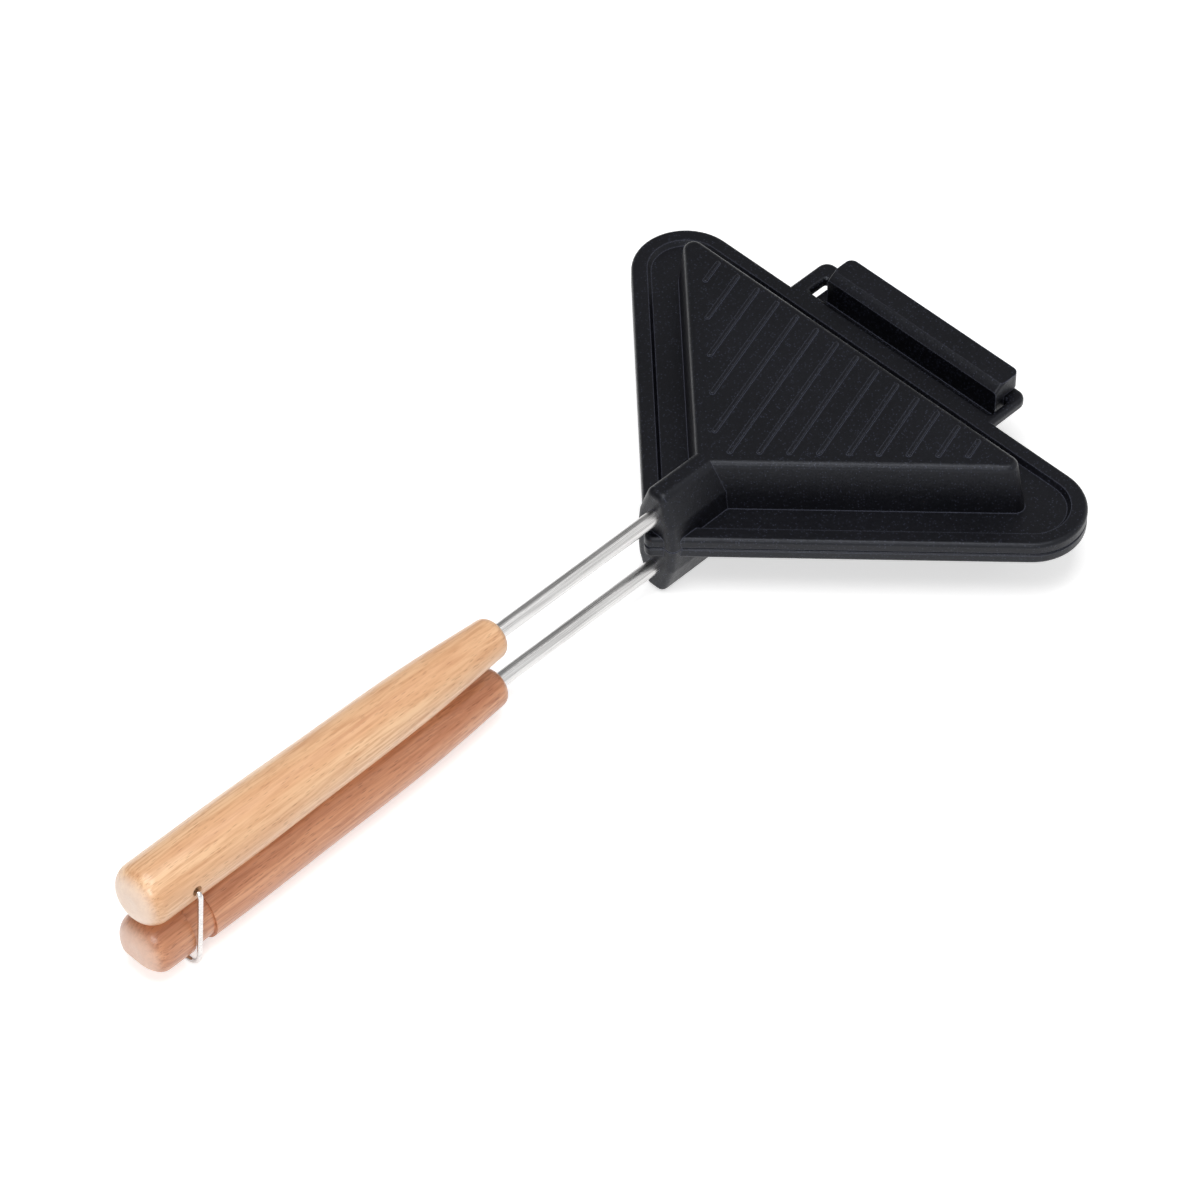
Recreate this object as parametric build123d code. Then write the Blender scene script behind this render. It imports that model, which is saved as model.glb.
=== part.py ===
from build123d import *
import math
import os

# Stovetop sandwich maker: two cast pans for one slice of bread folded corner to corner,
# hinged at the long side, on two steel rods with turned beech handles and a wire bail.
# Millimetres. X runs from the handles' tails to the hinge, Y across, Z up.
# The origin is at the centre of the object's footprint, on the surface it lies on.

# Sandwich triangle at the top edge of the raised face
APEX_TO_BASE = 82.4
BASE_HALF = 87.0

# Pan casting
PAN_DEPTH = 25.0
WALL = 3.5
FACE_EDGE_OUT = 0.7
FACE_FOOT_OUT = 2.4
FACE_CORNER_R = 4.0
FACE_EDGE_R = 2.4
HOLLOW_CORNER_R = 5.3
PARTING_GAP = 0.4
PARTING_CHAMFER = 0.5

# Flange round the raised face
FLANGE_THICKNESS = 4.9
LEDGE_THICKNESS = 3.0
RIM_OUT = 20.0
RIM_OUT_BASE = 22.6
RIM_CORNER_R = 20.9
RIM_WIDTH = 6.1
RIM_STEP_RUN = 1.4
RIM_EDGE_R = 1.6

# Sealing bead of the upper pan and its groove in the lower pan
BEAD_OUT = 7.5
BEAD_WIDTH = 2.0
BEAD_HEIGHT = 1.0
BEAD_CLEARANCE = 0.4

# Ribs cast on the raised face
RIB_ANGLE = 16.9
RIB_PITCH = 10.1
RIB_WIDTH = 1.7
RIB_HEIGHT = 0.7
RIB_EDGE_R = 0.4
RIB_CORNER_INSET = 20.7
RIB_BASE_INSET = 3.5
RIB_LEFT_INSET = 6.6
RIB_FRONT_INSET = 5.2
RIB_MIN_RUN = 4.0

# Rod socket cast on the apex of each pan
SOCKET_REACH = 22.7
SOCKET_HALF_FOOT = 9.8
SOCKET_HALF_SHOULDER = 8.6
SOCKET_SHOULDER_RISE = 11.5
SOCKET_HALF_TOP = 4.0
SOCKET_SHOULDER_R = 6.0
SOCKET_TOP_R = 3.2
SOCKET_NOSE_R = 2.6
SOCKET_ROOT = 10.0

# Rods and their pins
ROD_R = 3.0
ROD_RISE = 13.0
ROD_FIT = 0.04
ROD_IN_SOCKET = 18.0
ROD_IN_HANDLE = 72.0
ROD_END_CHAMFER = 0.5
ROD_SEEN = 80.0
PIN_R = 1.25
PIN_FIT = 0.02
PIN_INSET = 9.0
PIN_LENGTH = 17.0
PIN_RECESS = 0.4

# Hinge: a slotted tab on the upper pan over a hook on the lower pan
TAB_REACH = 19.8
TAB_LEFT_ARM = 7.0
TAB_RIGHT_ARM = 3.9
TAB_CORNER_R = 4.5
SLOT_LEFT_PLAY = 5.4
SLOT_RIGHT_PLAY = 1.1
SLOT_NEAR = 2.8
SLOT_CORNER_R = 1.0
BAR_WIDTH = 7.8
BAR_EDGE_R = 1.7
BAR_CLEARANCE = 0.4
HOOK_LENGTH = 85.4
HOOK_SHIFT = -2.2
HOOK_SHELF_PAST = 4.4
HOOK_HEIGHT = 13.8
HOOK_WALL = 4.7
HOOK_CORNER_R = 3.0
HOOK_EDGE_R = 1.2
HOOK_SWEEP_CLEARANCE = 0.5

# Turned beech handles
HANDLE_LENGTH = 175.7
HANDLE_R = 12.1
HANDLE_FRONT_R = 8.0
HANDLE_WAIST_R = 10.2
HANDLE_WAIST_AT = 37.0
HANDLE_MIDDLE_R = 11.3
HANDLE_MIDDLE_AT = 86.0
HANDLE_BELLY_AT = 138.0
HANDLE_FRONT_EDGE_R = 4.0
HANDLE_TAIL_EDGE_R = 8.0

# Wire bail that holds the handles together
BAIL_INSET = 20.6
BAIL_LEAN = 4.5
BAIL_WIRE_R = 1.0
BAIL_HOLE_R = 2.0
BAIL_HOLE_PLAY = 0.05
BAIL_SIDE_PLAY = 0.45
BAIL_TOP_BEND_R = 1.4
BAIL_FOOT_BEND_R = 6.0
BAIL_FLOOR_GAP = 0.25
BAIL_SWING_CLEARANCE = 0.6
GROOVE_WIDTH = 10.0
GROOVE_DEPTH = 1.0
GROOVE_PAST_BAIL = 2.3

# Places worked out from the sizes above, with the sandwich triangle's apex at x = 0
APEX_HALF_ANGLE = math.atan2(BASE_HALF, APEX_TO_BASE)
SIN_A = math.sin(APEX_HALF_ANGLE)
COS_A = math.cos(APEX_HALF_ANGLE)
SOCKET_X = -SOCKET_REACH
HANDLE_FRONT_X = SOCKET_X - ROD_SEEN
HANDLE_TAIL_X = HANDLE_FRONT_X - HANDLE_LENGTH
FLANGE_BASE_X = APEX_TO_BASE + RIM_OUT_BASE
HINGE_ROOT_X = FLANGE_BASE_X - RIM_WIDTH
TAB_END_X = FLANGE_BASE_X + TAB_REACH
BAR_X = TAB_END_X - BAR_WIDTH / 2
BAR_Z = (PARTING_GAP / 2 + FLANGE_THICKNESS) / 2
SLOT_NEAR_X = FLANGE_BASE_X + SLOT_NEAR
SLOT_FAR_X = TAB_END_X - BAR_WIDTH
BAR_SWEEP_R = BAR_EDGE_R + math.hypot(
    BAR_WIDTH / 2 - BAR_EDGE_R, (FLANGE_THICKNESS - PARTING_GAP / 2) / 2 - BAR_EDGE_R
)
HOOK_SWEEP_R = BAR_X - SLOT_NEAR_X - HOOK_SWEEP_CLEARANCE
HOOK_INNER_X = BAR_X - BAR_SWEEP_R - BAR_CLEARANCE
HOOK_OUTER_X = HOOK_INNER_X - HOOK_WALL
HOOK_UNDER_Z = BAR_Z + BAR_SWEEP_R + BAR_CLEARANCE
HOOK_LIP_Z = BAR_Z - BAR_SWEEP_R - BAR_CLEARANCE
HOOK_RIGHT_Y = HOOK_SHIFT - HOOK_LENGTH / 2
HOOK_LEFT_Y = HOOK_SHIFT + HOOK_LENGTH / 2
SLOT_RIGHT_Y = HOOK_RIGHT_Y - SLOT_RIGHT_PLAY
SLOT_LEFT_Y = HOOK_LEFT_Y + SLOT_LEFT_PLAY
TAB_RIGHT_Y = SLOT_RIGHT_Y - TAB_RIGHT_ARM
TAB_LEFT_Y = SLOT_LEFT_Y + TAB_LEFT_ARM
BAIL_X = HANDLE_TAIL_X + BAIL_INSET
BAIL_Z = ROD_RISE - BAIL_HOLE_R + BAIL_WIRE_R + BAIL_HOLE_PLAY
FLOOR_Z = -PAN_DEPTH - RIB_HEIGHT
BAIL_DROP = BAIL_Z - FLOOR_Z - BAIL_FLOOR_GAP - BAIL_WIRE_R
BAIL_HALF = HANDLE_R + BAIL_SIDE_PLAY + BAIL_WIRE_R
BAIL_RELIEF_R = BAIL_DROP - BAIL_WIRE_R - BAIL_SWING_CLEARANCE
GROOVE_X = BAIL_X - GROOVE_PAST_BAIL + GROOVE_WIDTH / 2
CENTRE_X = (HANDLE_TAIL_X + TAB_END_X) / 2


def place(shape):
    """Move a shape from the apex frame to the frame whose origin is under its centre."""
    return Pos(-CENTRE_X, 0, -FLOOR_Z) * shape


def triangle(out, out_base, corner_r, apex_r):
    """Rounded sandwich triangle, grown past its two short sides and its long side."""
    apex_x = -out / SIN_A
    base_x = APEX_TO_BASE + out_base
    half = (base_x - apex_x) * SIN_A / COS_A
    flat = make_face(Polyline((apex_x, 0), (base_x, -half), (base_x, half), close=True))
    corners = flat.vertices().sort_by(Axis.X)
    flat = fillet(corners[1:], corner_r)
    return fillet(flat.vertices().sort_by(Axis.X)[0], apex_r)


def prism(out, out_base, corner_r, apex_r, low, high):
    """Straight block on the rounded triangle between two heights."""
    return Pos(0, 0, low) * extrude(triangle(out, out_base, corner_r, apex_r), high - low)


def frustum(foot, head):
    """Drafted block between two rounded triangles, each with its height as the last size."""
    low = Pos(0, 0, foot[-1]) * triangle(*foot[:-1])
    high = Pos(0, 0, head[-1]) * triangle(*head[:-1])
    return loft([low, high], ruled=True)


def raised_face():
    """Raised block whose hollow takes half of the sandwich, with soft top edges."""
    foot = (FACE_FOOT_OUT, FACE_FOOT_OUT, FACE_CORNER_R, FACE_CORNER_R, PARTING_GAP)
    head = (FACE_EDGE_OUT, FACE_EDGE_OUT, FACE_CORNER_R, FACE_CORNER_R, PAN_DEPTH)
    block = frustum(foot, head)
    top = block.edges().group_by(Axis.Z)[-1]
    return fillet(top, FACE_EDGE_R)


def hollow():
    """Space inside the pan, one wall thickness inside the raised block."""
    foot_out = FACE_FOOT_OUT - WALL
    head_out = FACE_EDGE_OUT - WALL
    foot = (foot_out, foot_out, HOLLOW_CORNER_R, HOLLOW_CORNER_R, 0)
    head = (head_out, head_out, HOLLOW_CORNER_R, HOLLOW_CORNER_R, PAN_DEPTH - WALL)
    block = frustum(foot, head)
    top = block.edges().group_by(Axis.Z)[-1]
    return fillet(top, FACE_EDGE_R)


def flange():
    """Flat flange with a raised rim round a sunk ledge, and softened outer edges."""
    low = PARTING_GAP / 2
    plate = prism(RIM_OUT, RIM_OUT_BASE, RIM_CORNER_R, ROD_R, low, FLANGE_THICKNESS)
    plate = fillet(plate.edges().group_by(Axis.Z)[-1], RIM_EDGE_R)
    plate = chamfer(plate.edges().group_by(Axis.Z)[0], PARTING_CHAMFER)
    return plate - frustum(
        ledge_outline(RIM_WIDTH + RIM_STEP_RUN, LEDGE_THICKNESS),
        ledge_outline(RIM_WIDTH, FLANGE_THICKNESS),
    )


def ledge_outline(inset, height):
    """Outline of the sunk ledge, at one distance inside the flange's outer edge."""
    corner_r = RIM_CORNER_R - inset
    return (RIM_OUT - inset, RIM_OUT_BASE - inset, corner_r, corner_r, height)


def socket():
    """House-shaped boss along the apex that takes the rod, level with the raised face."""
    low = PARTING_GAP / 2
    outline = Polyline(
        (-SOCKET_HALF_FOOT, low),
        (SOCKET_HALF_FOOT, low),
        (SOCKET_HALF_SHOULDER, SOCKET_SHOULDER_RISE),
        (SOCKET_HALF_TOP, PAN_DEPTH),
        (-SOCKET_HALF_TOP, PAN_DEPTH),
        (-SOCKET_HALF_SHOULDER, SOCKET_SHOULDER_RISE),
        close=True,
    )
    section = make_face(outline)
    shoulders = section.vertices().group_by(Axis.Y)[1]
    section = fillet(shoulders, SOCKET_SHOULDER_R)
    section = fillet(section.vertices().group_by(Axis.Y)[-1], SOCKET_TOP_R)
    across = Plane(origin=(SOCKET_X, 0, 0), x_dir=(0, 1, 0), z_dir=(1, 0, 0))
    block = extrude(across * section, SOCKET_REACH + SOCKET_ROOT)
    nose = block.faces().sort_by(Axis.X)[0]
    edges = nose.edges().sort_by(Axis.Z)[1:]
    return fillet(edges, SOCKET_NOSE_R)


def rod_bore():
    """Blind hole for the rod and the small hole of its pin."""
    bore = Cylinder(ROD_R + ROD_FIT, ROD_IN_SOCKET, align=(Align.CENTER, Align.CENTER, Align.MIN))
    bore = Pos(SOCKET_X, 0, ROD_RISE) * Rot(0, 90, 0) * bore
    return bore + pin_hole()


def pin_hole():
    """Hole for the rod's pin, drilled from the parting face across the bore."""
    depth = PIN_RECESS + PIN_LENGTH + PARTING_GAP
    drill = Cylinder(PIN_R + PIN_FIT, depth, align=(Align.CENTER, Align.CENTER, Align.MIN))
    return Pos(SOCKET_X + PIN_INSET, 0, 0) * drill


def rib_lines():
    """Start and end of each rib's centre line, from the left corner to the right one."""
    slope = math.tan(math.radians(RIB_ANGLE))
    end_x = APEX_TO_BASE - RIB_BASE_INSET
    end_y = BASE_HALF - RIB_CORNER_INSET
    lines = []
    while end_y > -BASE_HALF:
        lift = end_y - slope * end_x
        left_x = (COS_A * lift + RIB_LEFT_INSET) / (SIN_A - COS_A * slope)
        front_x = (RIB_FRONT_INSET - COS_A * lift) / (SIN_A + COS_A * slope)
        start_x = max(left_x, front_x)
        if end_x - start_x > RIB_MIN_RUN:
            lines.append(((start_x, lift + slope * start_x), (end_x, end_y)))
        end_y -= RIB_PITCH
    return lines


def rib(start, end):
    """One low rounded rib on the raised face between two points."""
    flat = SlotCenterToCenter(math.dist(start, end), RIB_WIDTH)
    bar = extrude(flat, RIB_HEIGHT + FACE_EDGE_OUT)
    bar = fillet(bar.edges().group_by(Axis.Z)[-1], RIB_EDGE_R)
    middle_x = (start[0] + end[0]) / 2
    middle_y = (start[1] + end[1]) / 2
    return Pos(middle_x, middle_y, PAN_DEPTH - FACE_EDGE_OUT) * Rot(0, 0, RIB_ANGLE) * bar


def bead(out_margin, height, low):
    """Closed band round the hollow, as wide as the bead plus a margin each side."""
    outer = BEAD_OUT + BEAD_WIDTH / 2 + out_margin
    inner = BEAD_OUT - BEAD_WIDTH / 2 - out_margin
    outer_r = FACE_CORNER_R + outer
    inner_r = FACE_CORNER_R + inner
    band = prism(outer, outer, outer_r, outer_r, low, low + height)
    return band - prism(inner, inner, inner_r, inner_r, low, low + height)


def half_pan():
    """Shape that both pans share, lying above the parting plane."""
    body = flange() + raised_face() + socket()
    for start, end in rib_lines():
        body += rib(start, end)
    return body - hollow() - rod_bore()


def slab(low_x, high_x, low_y, high_y, low_z, high_z):
    """Plain block between two corners."""
    block = Box(high_x - low_x, high_y - low_y, high_z - low_z)
    return Pos((low_x + high_x) / 2, (low_y + high_y) / 2, (low_z + high_z) / 2) * block


def hinge_tab():
    """Slotted tab of the upper pan, whose outer bar turns in the hook."""
    low = PARTING_GAP / 2
    high = FLANGE_THICKNESS
    plate = slab(HINGE_ROOT_X, TAB_END_X, TAB_RIGHT_Y, TAB_LEFT_Y, low, high)
    slot = slab(SLOT_NEAR_X, SLOT_FAR_X, SLOT_RIGHT_Y, SLOT_LEFT_Y, low, high)
    plate -= fillet(slot.edges().filter_by(Axis.Z), SLOT_CORNER_R)
    ends = plate.edges().filter_by(Axis.Z).group_by(Axis.X)[-1]
    plate = fillet(ends, TAB_CORNER_R)
    along = plate.edges().filter_by(Axis.Y)
    bar_edges = along.filter_by(lambda edge: edge.center().X > SLOT_FAR_X - SLOT_CORNER_R)
    return fillet(bar_edges, BAR_EDGE_R)


def hook_shelf():
    """Flat shelf of the lower pan under the slot, with a lower lip under the bar."""
    low = -FLANGE_THICKNESS
    right = HOOK_RIGHT_Y
    left = HOOK_LEFT_Y + HOOK_SHELF_PAST
    lip = slab(HINGE_ROOT_X, TAB_END_X, right, left, low, HOOK_LIP_Z)
    lip = fillet(lip.edges().filter_by(Axis.Z).group_by(Axis.X)[-1], HOOK_CORNER_R)
    return lip + slab(HINGE_ROOT_X, HOOK_INNER_X, right, left, low, -PARTING_GAP / 2)


def hinge_hook():
    """Hook of the lower pan, which rises through the slot and covers the bar."""
    low = -FLANGE_THICKNESS
    outline = Polyline(
        (HOOK_OUTER_X, low),
        (HOOK_OUTER_X, HOOK_HEIGHT),
        (TAB_END_X, HOOK_HEIGHT),
        (TAB_END_X, HOOK_UNDER_Z),
        (HOOK_INNER_X, HOOK_UNDER_Z),
        (HOOK_INNER_X, low),
        close=True,
    )
    along = Plane(origin=(0, HOOK_LEFT_Y, 0), x_dir=(1, 0, 0), z_dir=(0, -1, 0))
    hook = extrude(along * make_face(outline), HOOK_LENGTH)
    corners = hook.edges().filter_by(Axis.Z).group_by(Axis.X)[-1]
    hook = fillet(corners, HOOK_CORNER_R)
    inside = hook.edges().filter_by(Axis.Y).filter_by(
        lambda edge: abs(edge.center().X - HOOK_INNER_X) < PARTING_GAP and edge.center().Z > 0
    )
    hook = fillet(inside, HOOK_EDGE_R)
    round_back = Pos(BAR_X, HOOK_SHIFT, BAR_Z) * Rot(90, 0, 0) * Cylinder(HOOK_SWEEP_R, HOOK_LENGTH)
    back_x = BAR_X - HOOK_SWEEP_R
    front_x = BAR_X + HOOK_SWEEP_R
    foot = slab(back_x, front_x, HOOK_RIGHT_Y, HOOK_LEFT_Y, low, BAR_Z)
    hook = hook & (round_back + foot)
    rims = hook.edges().filter_by(Plane.XZ).filter_by(
        lambda edge: edge.center().X < HOOK_INNER_X and edge.center().Z > FLANGE_THICKNESS
    )
    return fillet(rims, HOOK_EDGE_R) + hook_shelf()


def upper_pan():
    """Upper casting with the slotted tab and the sealing bead."""
    body = half_pan() + hinge_tab()
    return body + bead(0, BEAD_HEIGHT, PARTING_GAP / 2 - BEAD_HEIGHT)


def lower_pan():
    """Lower casting: the shared half turned over, with the groove and the hook."""
    body = half_pan().mirror(Plane.XY)
    groove_depth = BEAD_HEIGHT + BEAD_CLEARANCE
    groove = bead(BEAD_CLEARANCE, groove_depth, -PARTING_GAP / 2 - groove_depth)
    return body - groove + hinge_hook()


def rod(rise):
    """Round steel rod from the socket into the handle, drilled for its pin."""
    start = HANDLE_FRONT_X - ROD_IN_HANDLE
    length = SOCKET_X + ROD_IN_SOCKET - ROD_FIT - start
    bar = Cylinder(ROD_R, length, align=(Align.CENTER, Align.CENTER, Align.MIN))
    bar = chamfer(bar.edges(), ROD_END_CHAMFER)
    drill = Pos(0, 0, length - (ROD_IN_SOCKET - ROD_FIT - PIN_INSET)) * Rot(0, 90, 0)
    bar -= drill * Cylinder(PIN_R + PIN_FIT, 3 * ROD_R)
    return Pos(start, 0, rise) * Rot(0, 90, 0) * bar


def rod_pin():
    """Plain pin pressed from the parting face through the socket and the rod."""
    pin = Cylinder(PIN_R, PIN_LENGTH, align=(Align.CENTER, Align.CENTER, Align.MIN))
    pin = chamfer(pin.edges(), PIN_R / 4)
    return Pos(SOCKET_X + PIN_INSET, 0, PARTING_GAP / 2 + PIN_RECESS) * pin


def handle_blank():
    """Turned handle along the X axis: slim front, full belly, rounded tail, rod bore."""
    front = HANDLE_FRONT_X
    tail = HANDLE_TAIL_X
    front_face_r = HANDLE_FRONT_R - HANDLE_FRONT_EDGE_R
    tail_face_r = HANDLE_R - HANDLE_TAIL_EDGE_R
    shoulder = (front - HANDLE_FRONT_EDGE_R, HANDLE_FRONT_R)
    belly = (front - HANDLE_BELLY_AT, HANDLE_R)
    crown = (tail + HANDLE_TAIL_EDGE_R, HANDLE_R)
    waist = (front - HANDLE_WAIST_AT, HANDLE_WAIST_R)
    middle = (front - HANDLE_MIDDLE_AT, HANDLE_MIDDLE_R)
    slope = (-(HANDLE_WAIST_AT - HANDLE_FRONT_EDGE_R), HANDLE_WAIST_R - HANDLE_FRONT_R)
    nose = TangentArc(shoulder, (front, front_face_r), tangent=(1, 0))
    side = Spline(shoulder, waist, middle, belly, tangents=(slope, (-1, 0)))
    end = TangentArc(crown, (tail, tail_face_r), tangent=(-1, 0))
    outline = [
        Line((front, 0), (front, front_face_r)),
        nose,
        side,
        Line(belly, crown),
        end,
        Line((tail, tail_face_r), (tail, 0)),
        Line((tail, 0), (front, 0)),
    ]
    blank = revolve(make_face(outline), Axis.X)
    bore = Cylinder(ROD_R + ROD_FIT, ROD_IN_HANDLE, align=(Align.CENTER, Align.CENTER, Align.MAX))
    return blank - Pos(front, 0, 0) * Rot(0, 90, 0) * bore


def upper_handle():
    """Upper handle with the cross hole for the bail."""
    hole = Pos(BAIL_X, 0, 0) * Rot(90, 0, 0) * Cylinder(BAIL_HOLE_R, 3 * HANDLE_R)
    return Pos(0, 0, ROD_RISE) * (handle_blank() - hole)


def lower_handle():
    """Lower handle with the bail's groove and the relief under its tail."""
    ring = Cylinder(2 * HANDLE_R, GROOVE_WIDTH) - Cylinder(HANDLE_R - GROOVE_DEPTH, GROOVE_WIDTH)
    body = handle_blank() - Pos(GROOVE_X, 0, 0) * Rot(0, 90, 0) * ring
    body = Pos(0, 0, -ROD_RISE) * body
    front = GROOVE_X + GROOVE_WIDTH / 2
    reach = front - HANDLE_TAIL_X + HANDLE_R
    block = Box(reach, 3 * HANDLE_R, 2 * BAIL_DROP, align=(Align.MAX, Align.CENTER, Align.MAX))
    path = Pos(BAIL_X, 0, BAIL_Z) * Rot(90, 0, 0) * Cylinder(BAIL_RELIEF_R, 4 * HANDLE_R)
    return body - (Pos(front, 0, -ROD_RISE) * block - path)


def latch_wire():
    """Closed wire bail: through the upper handle and round the lower one's tail."""
    frame = Rectangle(2 * BAIL_HALF, BAIL_DROP, align=(Align.CENTER, Align.MAX))
    frame = fillet(frame.vertices().group_by(Axis.Y)[-1], BAIL_TOP_BEND_R)
    frame = fillet(frame.vertices().group_by(Axis.Y)[0], BAIL_FOOT_BEND_R)
    across = Plane(origin=(0, 0, 0), x_dir=(0, 1, 0), z_dir=(1, 0, 0))
    path = (across * frame).faces()[0].outer_wire()
    start = path.edges().filter_by(Axis.Y).sort_by(Axis.Z)[-1]
    section = Plane(origin=start @ 0.5, z_dir=start % 0.5) * Circle(BAIL_WIRE_R)
    wire = sweep(section, path=path)
    return Pos(BAIL_X, 0, BAIL_Z) * Rot(0, BAIL_LEAN, 0) * wire


def main():
    """Write one STEP file for each piece."""
    pieces = {
        "upper_pan": upper_pan(),
        "lower_pan": lower_pan(),
        "upper_rod": rod(ROD_RISE),
        "lower_rod": rod(-ROD_RISE),
        "upper_rod_pin": rod_pin(),
        "lower_rod_pin": rod_pin().mirror(Plane.XY),
        "upper_handle": upper_handle(),
        "lower_handle": lower_handle(),
        "latch_wire": latch_wire(),
    }
    os.makedirs("parts", exist_ok=True)
    for name, piece in pieces.items():
        export_step(place(piece), "parts/" + name + ".step")
    print("hinge axis", round(BAR_X - CENTRE_X, 3), round(BAR_Z - FLOOR_Z, 3))
    print("bail axis", round(BAIL_X - CENTRE_X, 3), round(BAIL_Z - FLOOR_Z, 3))


main()
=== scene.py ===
import math

import bpy
import numpy as np
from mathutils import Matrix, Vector


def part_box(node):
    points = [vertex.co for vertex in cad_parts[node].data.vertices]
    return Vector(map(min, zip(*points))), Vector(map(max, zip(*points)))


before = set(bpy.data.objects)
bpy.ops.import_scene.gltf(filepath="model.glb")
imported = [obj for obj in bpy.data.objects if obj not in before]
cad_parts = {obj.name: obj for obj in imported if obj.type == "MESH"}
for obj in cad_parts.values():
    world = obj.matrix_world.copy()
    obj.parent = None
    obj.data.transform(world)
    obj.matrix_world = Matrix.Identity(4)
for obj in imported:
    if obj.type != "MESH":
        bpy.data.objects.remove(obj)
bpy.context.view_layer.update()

# Camera, from a fit of the photograph's straight edges, in metres and degrees
CAMERA_AIM = (0.0200, -0.0063, 0.0256)
CAMERA_AZIMUTH = -45.23
CAMERA_ELEVATION = 47.54
CAMERA_DISTANCE = 2.1327
FRAME_PIXELS = 1200
FOCAL_PIXELS = 5926.2
SENSOR_MM = 36.0
NEAR_LIMIT = 0.01
FAR_LIMIT = 50.0

# Soft boxes: places and sizes in metres, powers in watts
LIT_POINT = (0.05, 0.0, 0.03)
OVERHEAD_PLACE = (-0.15, -0.10, 1.50)
OVERHEAD_SIZE = 1.0
OVERHEAD_POWER = 14.0
FRONT_PLACE = (-0.95, -0.75, 0.95)
FRONT_SIZE = 0.5
FRONT_POWER = 5.5

# Surroundings, as shares of white
SKY_LEVEL = 0.32
FAR_SIDE_LEVEL = 0.34
FLOOR_GLOW = 0.50
FLOOR_DARKEST = 0.90
FLOOR_PALEST = 0.93
FLOOR_HALF_SIZE = 4.0

# Sizes in the finishes, in metres
# Width of the highlight painted lighter along the casting's sharp edges
EDGE_HIGHLIGHT_RADIUS = 0.0008
COAT_RELIEF = 0.0002
STEEL_RELIEF = 0.00003
WOOD_RELIEF = 0.00008
# Reach of the highlight painted paler on the handles' tail ends
TAIL_HIGHLIGHT_START = 0.0004
TAIL_HIGHLIGHT_REACH = 0.0045

# Grains of the coating, in cells per metre
COAT_GRAINS = 1400.0

# Tones of the finishes, in sRGB from 0 to 255
# The coating's edge tone is a painted highlight along sharp edges
COAT_TONES = {"dark": (5, 5, 9), "lighter": (11, 11, 16), "grain": (50, 53, 66), "edge": (90, 93, 108)}
STEEL_BRIGHT = (226, 225, 224)
ROD_TONE = (186, 185, 184)
BAIL_TONE = (196, 195, 194)
# In both beeches, the last tone is a highlight painted on the handle's tail end
LIGHT_BEECH_TONES = {
    "pale": (245, 203, 160),
    "warm": (229, 178, 134),
    "deep": (202, 143, 100),
    "fleck": (160, 100, 62),
    "tail highlight": (252, 230, 212),
}
# Lower handle's beech: redder in its own hue, and darker in part as painted shade from the upper handle
# above it
RED_BEECH_AND_SHADE_TONES = {
    "pale": (226, 166, 126),
    "warm": (202, 136, 97),
    "deep": (170, 102, 66),
    "fleck": (122, 64, 38),
    "tail highlight": (240, 206, 186),
}
WHITE = (1.0, 1.0, 1.0, 1.0)


def linear(red, green, blue):
    """Linear colour of an sRGB colour given in 0 to 255."""
    values = np.array([red, green, blue]) / 255.0
    low = values / 12.92
    high = ((values + 0.055) / 1.055) ** 2.4
    return (*np.where(values <= 0.04045, low, high), 1.0)


def linear_tones(tones):
    """The same named tones as linear colours."""
    return {name: linear(*tone) for name, tone in tones.items()}


class Graph:
    """Small helper that adds nodes to a tree and links them by socket name."""

    def __init__(self, tree):
        self.tree = tree
        self.tree.nodes.clear()

    def add(self, kind, **values):
        """Add a node; keys name inputs or properties, and sockets as values are linked."""
        node = self.tree.nodes.new(kind)
        for key, value in values.items():
            if hasattr(node, key) and key not in node.inputs:
                setattr(node, key, value)
            else:
                self.feed(node.inputs[key], value)
        return node

    def feed(self, socket, value):
        """Set a socket's value, or link it when the value is another node's output."""
        if isinstance(value, bpy.types.NodeSocket):
            self.tree.links.new(value, socket)
        else:
            socket.default_value = value

    def math(self, operation, first, second, clamp=False):
        """Result of a Math node."""
        node = self.tree.nodes.new("ShaderNodeMath")
        node.operation = operation
        node.use_clamp = clamp
        self.feed(node.inputs[0], first)
        self.feed(node.inputs[1], second)
        return node.outputs[0]

    def vector_math(self, operation, first, second):
        """Vector Math node of two vectors."""
        node = self.tree.nodes.new("ShaderNodeVectorMath")
        node.operation = operation
        self.feed(node.inputs[0], first)
        self.feed(node.inputs[1], second)
        return node

    def mix(self, factor, first, second):
        """Colour result of a Mix node."""
        node = self.tree.nodes.new("ShaderNodeMix")
        node.data_type = "RGBA"
        self.feed(node.inputs["Factor"], factor)
        self.feed(node.inputs["A"], first)
        self.feed(node.inputs["B"], second)
        return node.outputs["Result"]

    def remap(self, value, from_low, from_high, to_low=0.0, to_high=1.0, smooth=False):
        """Map Range of a value, clamped."""
        node = self.tree.nodes.new("ShaderNodeMapRange")
        if smooth:
            node.interpolation_type = "SMOOTHSTEP"
        for name, number in (
            ("Value", value),
            ("From Min", from_low),
            ("From Max", from_high),
            ("To Min", to_low),
            ("To Max", to_high),
        ):
            self.feed(node.inputs[name], number)
        return node.outputs["Result"]

    def relief(self, shader, height, strength, distance):
        """Bump the shader's normal by a height."""
        bump = self.add("ShaderNodeBump", Strength=strength, Distance=distance, Height=height)
        self.feed(shader.inputs["Normal"], bump.outputs["Normal"])


def new_group(name, inputs, outputs):
    """Empty shader node group with named value sockets."""
    tree = bpy.data.node_groups.new(name, "ShaderNodeTree")
    graph = Graph(tree)
    for label, default in inputs:
        socket = tree.interface.new_socket(label, in_out="INPUT", socket_type="NodeSocketFloat")
        socket.default_value = default
    for label in outputs:
        tree.interface.new_socket(label, in_out="OUTPUT", socket_type="NodeSocketFloat")
    graph.source = tree.nodes.new("NodeGroupInput")
    graph.sink = tree.nodes.new("NodeGroupOutput")
    return tree, graph


def surface_position(graph):
    """Object coordinates, in metres in the shared frame."""
    return graph.add("ShaderNodeTexCoord").outputs["Object"]


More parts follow.
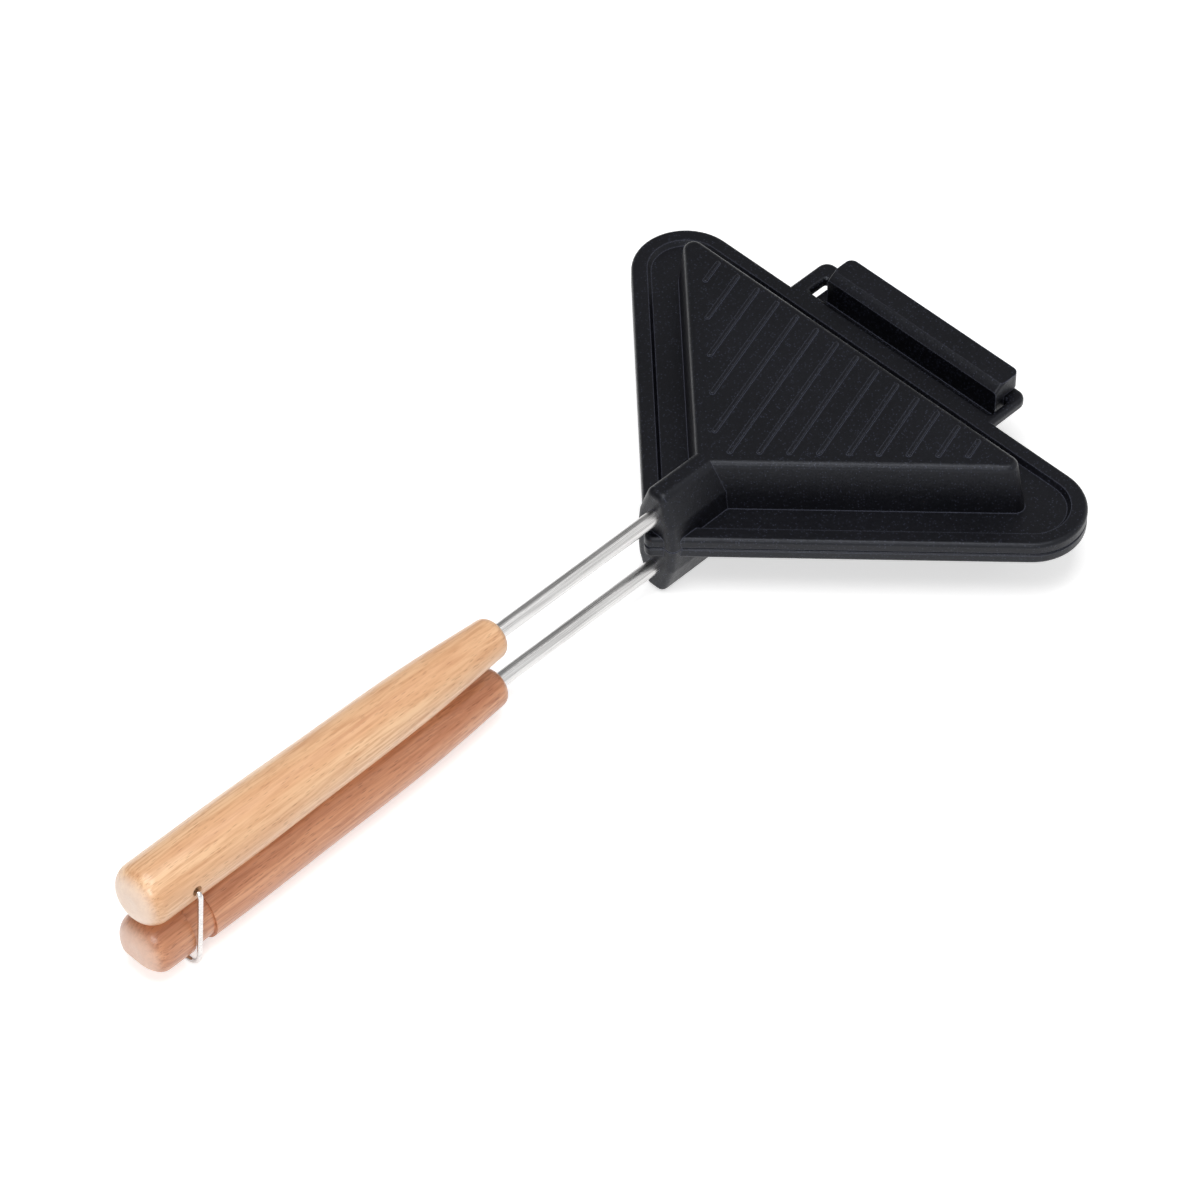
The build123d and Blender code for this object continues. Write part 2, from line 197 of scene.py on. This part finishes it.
def noise(graph, vector, scale, detail=2.0, roughness=0.5, distortion=0.0):
    """Value of a 3D noise texture."""
    node = graph.add(
        "ShaderNodeTexNoise",
        Vector=vector,
        Scale=scale,
        Detail=detail,
        Roughness=roughness,
        Distortion=distortion,
    )
    return node.outputs["Fac"]


def stretch(graph, vector, factors, turn=(0.0, 0.0, 0.0)):
    """Coordinates scaled and turned by a Mapping node."""
    node = graph.add("ShaderNodeMapping", Vector=vector, Rotation=turn, Scale=factors)
    return node.outputs["Vector"]


def speckle_group():
    """Fine powdery bumps and bright grains of a sprayed coating."""
    tree, graph = new_group(
        "sprayed_coating",
        [("Grain Size", 1500.0), ("Grain Amount", 0.5)],
        ["Height", "Grains", "Patches"],
    )
    position = surface_position(graph)
    size = graph.source.outputs["Grain Size"]
    fine = noise(graph, position, size, 3.0, 0.65)
    coarse = noise(graph, position, graph.math("MULTIPLY", size, 0.35), 2.0, 0.5)
    cells = graph.add("ShaderNodeTexVoronoi", Vector=position, Scale=size)
    dots = graph.remap(cells.outputs["Distance"], 0.22, 0.50, 1.0, 0.0)
    lot = graph.add("ShaderNodeSeparateColor", Color=cells.outputs["Color"]).outputs["Red"]
    grains = graph.math("MULTIPLY", dots, graph.remap(lot, 0.70, 0.90))
    grains = graph.math("MULTIPLY", grains, graph.source.outputs["Grain Amount"])
    height = graph.math("ADD", graph.math("MULTIPLY", fine, 0.55), graph.math("MULTIPLY", coarse, 0.45))
    graph.feed(graph.sink.inputs["Height"], height)
    graph.feed(graph.sink.inputs["Grains"], grains)
    graph.feed(graph.sink.inputs["Patches"], noise(graph, position, 26.0, 3.0, 0.55))
    return tree


def edge_group():
    """Mask of sharp edges for a painted highlight, from the angle between the bevelled and the plain
    normal.
    """
    tree, graph = new_group("rubbed_edges", [("Radius", 0.0008), ("Strength", 1.0)], ["Mask"])
    soft = graph.add("ShaderNodeBevel", samples=6, Radius=graph.source.outputs["Radius"])
    flat = graph.add("ShaderNodeNewGeometry").outputs["Normal"]
    alike = graph.vector_math("DOT_PRODUCT", soft.outputs["Normal"], flat).outputs["Value"]
    mask = graph.remap(graph.math("SUBTRACT", 1.0, alike), 0.01, 0.20)
    mask = graph.math("MULTIPLY", mask, graph.source.outputs["Strength"], clamp=True)
    graph.feed(graph.sink.inputs["Mask"], mask)
    return tree


def grain_group():
    """Beech grain along X: growth bands, streaks, short dark flecks and broad patches."""
    tree, graph = new_group("beech_grain", [("Seed", 0.0)], ["Bands", "Streaks", "Flecks", "Patches"])
    offset = graph.add("ShaderNodeCombineXYZ", X=graph.source.outputs["Seed"]).outputs["Vector"]
    place = graph.vector_math("ADD", surface_position(graph), offset).outputs["Vector"]
    slow = stretch(graph, place, (9.0, 95.0, 95.0), turn=(0.5, 0.05, 0.06))
    quick = stretch(graph, place, (45.0, 900.0, 900.0), turn=(0.0, 0.04, 0.05))
    dashes = stretch(graph, place, (260.0, 2300.0, 1500.0), turn=(0.3, 0.05, 0.05))
    cells = graph.add("ShaderNodeTexVoronoi", Vector=dashes, Scale=1.0)
    marks = graph.remap(cells.outputs["Distance"], 0.18, 0.42, 1.0, 0.0)
    lot = graph.add("ShaderNodeSeparateColor", Color=cells.outputs["Color"]).outputs["Green"]
    marks = graph.math("MULTIPLY", marks, graph.remap(lot, 0.60, 0.75))
    broad = noise(graph, stretch(graph, place, (14.0, 42.0, 42.0)), 1.0)
    graph.feed(graph.sink.inputs["Bands"], noise(graph, slow, 1.0, 3.0, 0.55, 0.6))
    graph.feed(graph.sink.inputs["Streaks"], noise(graph, quick, 1.0, 3.0, 0.6))
    graph.feed(graph.sink.inputs["Flecks"], marks)
    graph.feed(graph.sink.inputs["Patches"], broad)
    return tree


def new_material(name):
    """Material with a Principled BSDF wired to its output."""
    material = bpy.data.materials.new(name)
    material.use_nodes = True
    graph = Graph(material.node_tree)
    shader = graph.add("ShaderNodeBsdfPrincipled")
    graph.add("ShaderNodeOutputMaterial", Surface=shader.outputs["BSDF"])
    return material, graph, shader


def group_outputs(graph, tree, **values):
    """Outputs of a node group that is placed with its own input values."""
    node = graph.tree.nodes.new("ShaderNodeGroup")
    node.node_tree = tree
    for key, value in values.items():
        graph.feed(node.inputs[key.replace("_", " ")], value)
    return node.outputs


def coated_casting(speckle, edges):
    """Black non-stick coating on cast aluminium: dark, faintly blue, sandy sheen."""
    material, graph, shader = new_material("coated_casting")
    tones = linear_tones(COAT_TONES)
    coat = group_outputs(graph, speckle, Grain_Size=COAT_GRAINS, Grain_Amount=0.8)
    # Mask of the highlight painted on sharp edges
    painted_highlight = group_outputs(graph, edges, Radius=EDGE_HIGHLIGHT_RADIUS, Strength=0.8)
    colour = graph.mix(graph.remap(coat["Patches"], 0.35, 0.65), tones["dark"], tones["lighter"])
    colour = graph.mix(coat["Grains"], colour, tones["grain"])
    # Sharp edges painted lighter as a highlight
    colour = graph.mix(painted_highlight["Mask"], colour, tones["edge"])
    graph.feed(shader.inputs["Base Color"], colour)
    graph.feed(shader.inputs["Roughness"], graph.remap(coat["Height"], 0.3, 0.7, 0.30, 0.46))
    shader.inputs["Specular IOR Level"].default_value = 0.30
    shader.inputs["Specular Tint"].default_value = (0.86, 0.90, 1.0, 1.0)
    graph.relief(shader, coat["Height"], 0.8, COAT_RELIEF)
    return material


def drawn_steel(name, roughness_low, roughness_high, tone):
    """Bright drawn steel with fine lines along the wire or rod."""
    material, graph, shader = new_material(name)
    position = surface_position(graph)
    lines = noise(graph, stretch(graph, position, (40.0, 2600.0, 2600.0)), 1.0, 3.0, 0.6)
    cloud = noise(graph, position, 90.0, 3.0, 0.55)
    colour = graph.mix(graph.remap(lines, 0.3, 0.7), linear(*tone), linear(*STEEL_BRIGHT))
    graph.feed(shader.inputs["Base Color"], colour)
    shader.inputs["Metallic"].default_value = 1.0
    mixed = graph.math("ADD", graph.math("MULTIPLY", lines, 0.5), graph.math("MULTIPLY", cloud, 0.5))
    graph.feed(shader.inputs["Roughness"], graph.remap(mixed, 0.3, 0.7, roughness_low, roughness_high))
    graph.relief(shader, lines, 0.12, STEEL_RELIEF)
    return material


def beech(name, grain, node, seed, tones):
    """Satin lacquered beech from the grain group, with a highlight painted paler on the handle's tail
    end.
    """
    material, graph, shader = new_material(name)
    tones = linear_tones(tones)
    wood = group_outputs(graph, grain, Seed=seed)
    streaks = graph.math("MULTIPLY", graph.remap(wood["Streaks"], 0.42, 0.68), 0.80)
    patches = graph.math("MULTIPLY", graph.remap(wood["Patches"], 0.35, 0.68), 0.35)
    flecks = graph.math("MULTIPLY", wood["Flecks"], 0.45)
    colour = graph.mix(graph.remap(wood["Bands"], 0.40, 0.62), tones["pale"], tones["warm"])
    colour = graph.mix(streaks, colour, tones["deep"])
    colour = graph.mix(patches, colour, tones["warm"])
    colour = graph.mix(flecks, colour, tones["fleck"])
    # Tail end painted paler as a highlight
    tail_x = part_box(node)[0][0]
    along = graph.add("ShaderNodeSeparateXYZ", Vector=surface_position(graph)).outputs["X"]
    tail_highlight = graph.remap(along, tail_x + TAIL_HIGHLIGHT_START, tail_x + TAIL_HIGHLIGHT_REACH, 0.75, 0.0, smooth=True)
    graph.feed(shader.inputs["Base Color"], graph.mix(tail_highlight, colour, tones["tail highlight"]))
    graph.feed(shader.inputs["Roughness"], graph.remap(wood["Streaks"], 0.3, 0.7, 0.30, 0.44))
    shader.inputs["Specular IOR Level"].default_value = 0.45
    shader.inputs["Coat Weight"].default_value = 0.35
    shader.inputs["Coat Roughness"].default_value = 0.15
    graph.relief(shader, graph.math("SUBTRACT", wood["Streaks"], wood["Flecks"]), 0.22, WOOD_RELIEF)
    return material


def dress(material, *nodes):
    """Give CAD nodes one material."""
    for node in nodes:
        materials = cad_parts[node].data.materials
        materials.clear()
        materials.append(material)


def dress_all():
    """Assign every finish to the pieces that have it."""
    grain = grain_group()
    dress(coated_casting(speckle_group(), edge_group()), "upper_pan", "lower_pan")
    steel = drawn_steel("bright_steel", 0.20, 0.34, ROD_TONE)
    dress(steel, "upper_rod", "lower_rod", "upper_rod_pin", "lower_rod_pin")
    dress(drawn_steel("bail_wire", 0.12, 0.24, BAIL_TONE), "latch_wire")
    dress(beech("light_beech", grain, "upper_handle", 0.0, LIGHT_BEECH_TONES), "upper_handle")
    # Lower handle: red beech, darkened in part as painted shade
    dress(beech("red_beech", grain, "lower_handle", 0.7, RED_BEECH_AND_SHADE_TONES), "lower_handle")


def aim(thing, target):
    """Turn a lamp or the camera to look at a point."""
    direction = Vector(target) - thing.location
    thing.rotation_euler = direction.to_track_quat("-Z", "Y").to_euler()


def make_camera():
    """Camera at the photograph's angle, distance and framing."""
    data = bpy.data.cameras.new("camera")
    data.sensor_width = SENSOR_MM
    data.lens = FOCAL_PIXELS / FRAME_PIXELS * SENSOR_MM
    data.clip_start = NEAR_LIMIT
    data.clip_end = FAR_LIMIT
    camera = bpy.data.objects.new("camera", data)
    bpy.context.collection.objects.link(camera)
    azimuth = math.radians(CAMERA_AZIMUTH)
    elevation = math.radians(CAMERA_ELEVATION)
    back = Vector(
        (
            math.sin(azimuth) * math.cos(elevation),
            -math.cos(azimuth) * math.cos(elevation),
            math.sin(elevation),
        )
    )
    camera.location = Vector(CAMERA_AIM) + back * CAMERA_DISTANCE
    aim(camera, CAMERA_AIM)
    bpy.context.scene.camera = camera


def make_lamp(name, place, size, power):
    """Square soft box that looks at the object."""
    data = bpy.data.lights.new(name, "AREA")
    data.shape = "SQUARE"
    data.size = size
    data.energy = power
    lamp = bpy.data.objects.new(name, data)
    bpy.context.collection.objects.link(lamp)
    lamp.location = place
    aim(lamp, LIT_POINT)


def mirrored_ray(graph, path):
    """One for a ray that a mirror or glass sends on, zero for others."""
    return graph.math("MAXIMUM", path.outputs["Is Glossy Ray"], path.outputs["Is Transmission Ray"])


def make_world():
    """Pale surround, white to the camera; mirrors see it dimmer towards +Y."""
    world = bpy.data.worlds.new("studio")
    bpy.context.scene.world = world
    world.use_nodes = True
    graph = Graph(world.node_tree)
    path = graph.add("ShaderNodeLightPath")
    direction = graph.add("ShaderNodeTexCoord").outputs["Generated"]
    sideways = graph.add("ShaderNodeSeparateXYZ", Vector=direction).outputs["Y"]
    in_mirrors = graph.remap(sideways, -0.10, 0.30, 1.0, FAR_SIDE_LEVEL, smooth=True)
    level = graph.remap(mirrored_ray(graph, path), 0.0, 1.0, SKY_LEVEL, in_mirrors)
    level = graph.remap(path.outputs["Is Camera Ray"], 0.0, 1.0, level, 1.0)
    background = graph.add("ShaderNodeBackground", Color=WHITE, Strength=level)
    graph.add("ShaderNodeOutputWorld", Surface=background.outputs["Background"])


def floor_material():
    """Pale matt floor; the camera and mirrors see it lifted to white."""
    material, graph, shader = new_material("pale_floor")
    cloud = noise(graph, surface_position(graph), 3.0)
    darkest = (FLOOR_DARKEST, FLOOR_DARKEST, FLOOR_DARKEST, 1.0)
    palest = (FLOOR_PALEST, FLOOR_PALEST, FLOOR_PALEST, 1.0)
    graph.feed(shader.inputs["Base Color"], graph.mix(cloud, darkest, palest))
    shader.inputs["Roughness"].default_value = 0.8
    shader.inputs["Specular IOR Level"].default_value = 0.0
    path = graph.add("ShaderNodeLightPath")
    seen = graph.math("MAXIMUM", path.outputs["Is Camera Ray"], mirrored_ray(graph, path))
    shader.inputs["Emission Color"].default_value = WHITE
    graph.feed(shader.inputs["Emission Strength"], graph.math("MULTIPLY", seen, FLOOR_GLOW))
    return material


def make_floor():
    """Square floor under the object."""
    half = FLOOR_HALF_SIZE
    corners = [(-half, -half, 0.0), (half, -half, 0.0), (half, half, 0.0), (-half, half, 0.0)]
    mesh = bpy.data.meshes.new("floor")
    mesh.from_pydata(corners, [], [(0, 1, 2, 3)])
    floor = bpy.data.objects.new("floor", mesh)
    bpy.context.collection.objects.link(floor)
    mesh.materials.append(floor_material())


def main():
    """Dress the frame, then set the camera, the lamps, the surround and the floor."""
    bpy.context.scene.view_settings.view_transform = "Standard"
    dress_all()
    make_camera()
    make_lamp("overhead", OVERHEAD_PLACE, OVERHEAD_SIZE, OVERHEAD_POWER)
    make_lamp("front", FRONT_PLACE, FRONT_SIZE, FRONT_POWER)
    make_world()
    make_floor()


main()
